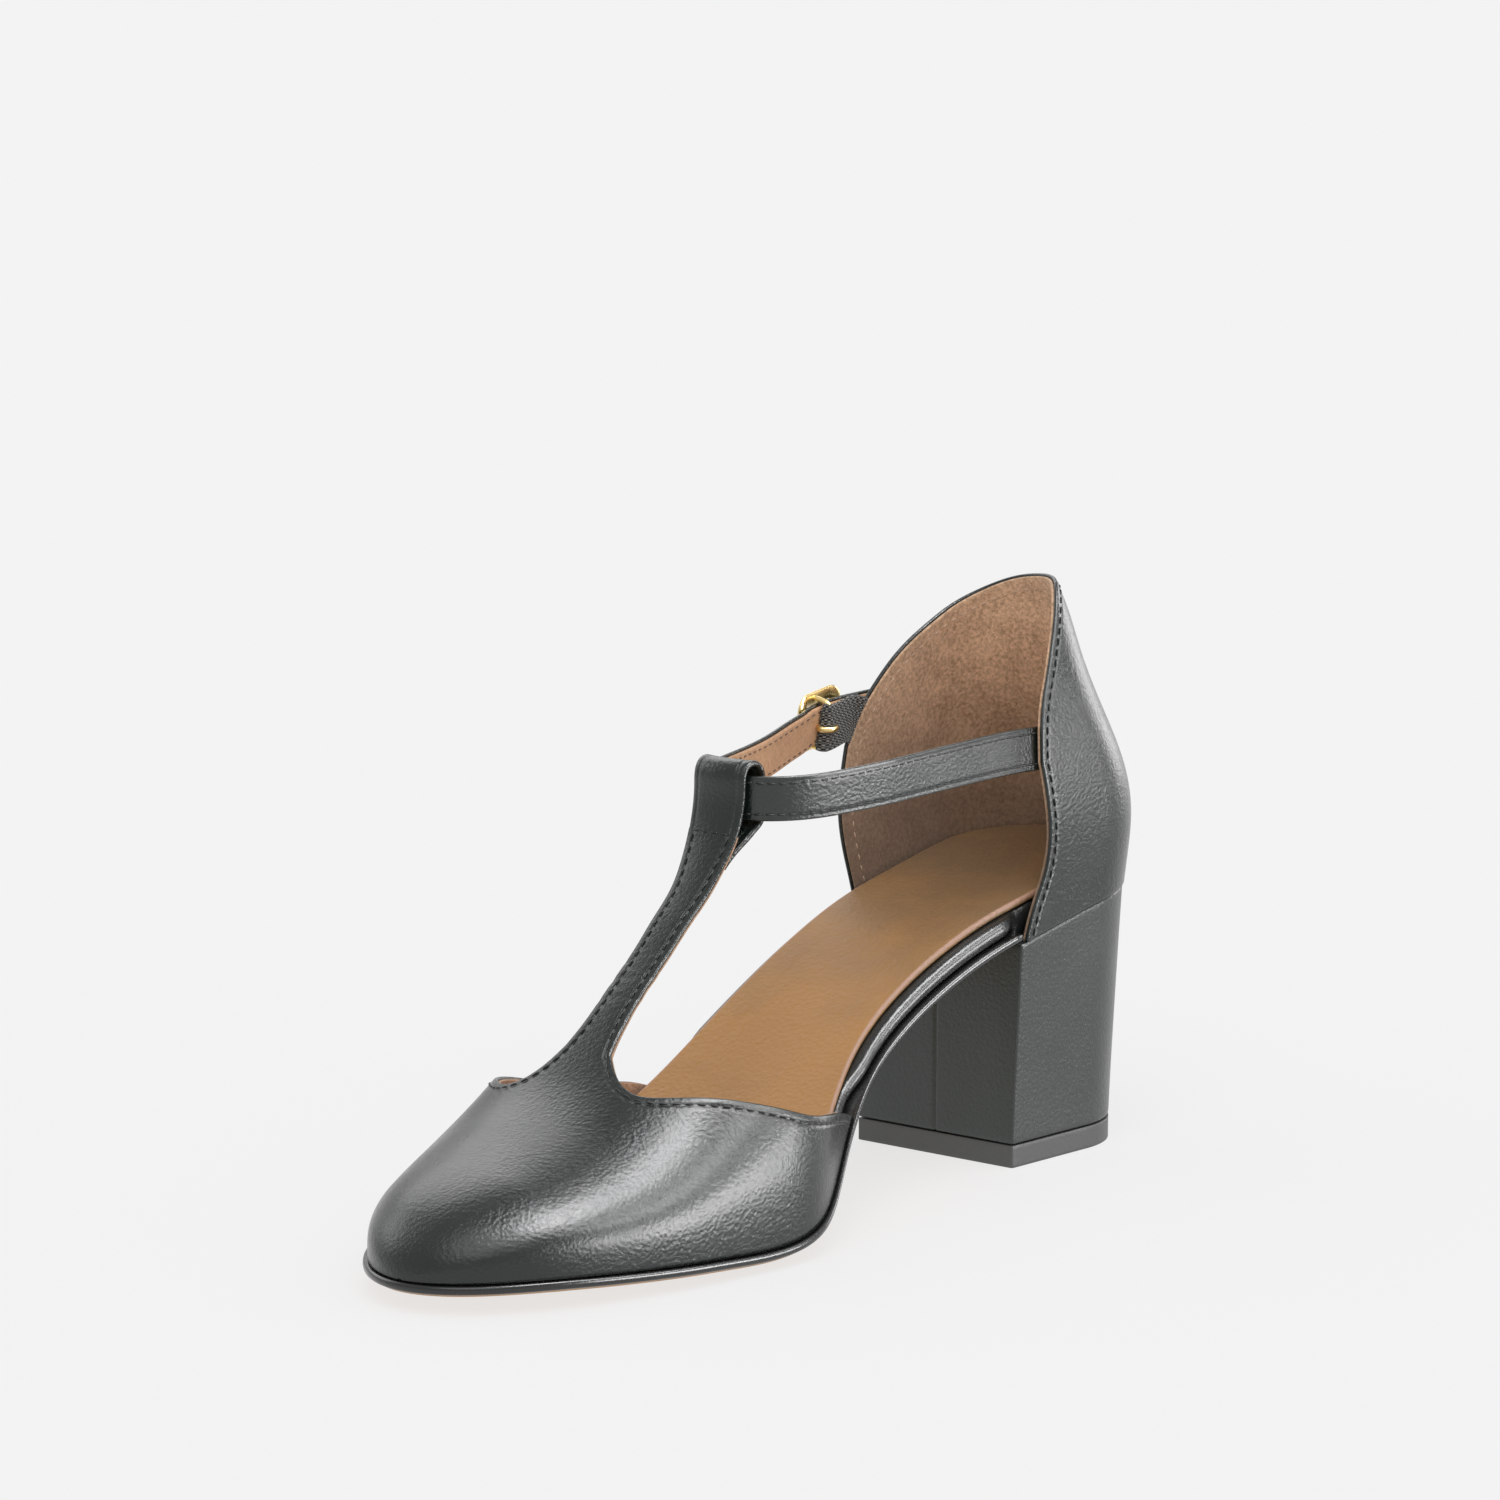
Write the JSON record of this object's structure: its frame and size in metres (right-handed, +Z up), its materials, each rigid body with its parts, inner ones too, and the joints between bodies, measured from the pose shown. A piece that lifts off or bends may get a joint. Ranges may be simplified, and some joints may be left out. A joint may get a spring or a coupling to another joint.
{
  "type": "t strap shoe",
  "caption": "Right women's T-strap shoe: closed round toe, open waist, closed heel cup, ankle strap with buckle through the T-bar's loop, block heel.",
  "frame": {"origin": "on the floor, in the rest face of the heel's top piece", "axes": "toe points to -Y, heel to +Y, medial side to +X, up is +Z"},
  "size_m": [0.0812, 0.2417, 0.1305],
  "materials": {
    "black_leather": "smooth black leather, soft sheen",
    "edge_black": "black edge ink over a sole with a tan underside",
    "heel_leather": "smooth black leather cover",
    "sock_leather": "tan grained sock",
    "black_rubber": "matte black",
    "polished_brass": "polished",
    "black_elastic": "ribbed knit"
  },
  "bodies": {
    "root": {"outsole": "edge_black", "insole_board": "black_leather", "insole_sock": "sock_leather", "heel_block": "heel_leather", "heel_top_piece": "black_rubber", "vamp": "black_leather", "heel_cup": "black_leather", "ankle_strap": "black_leather", "buckle": "polished_brass", "elastic_gore": "black_elastic"}
  },
  "joints": []
}
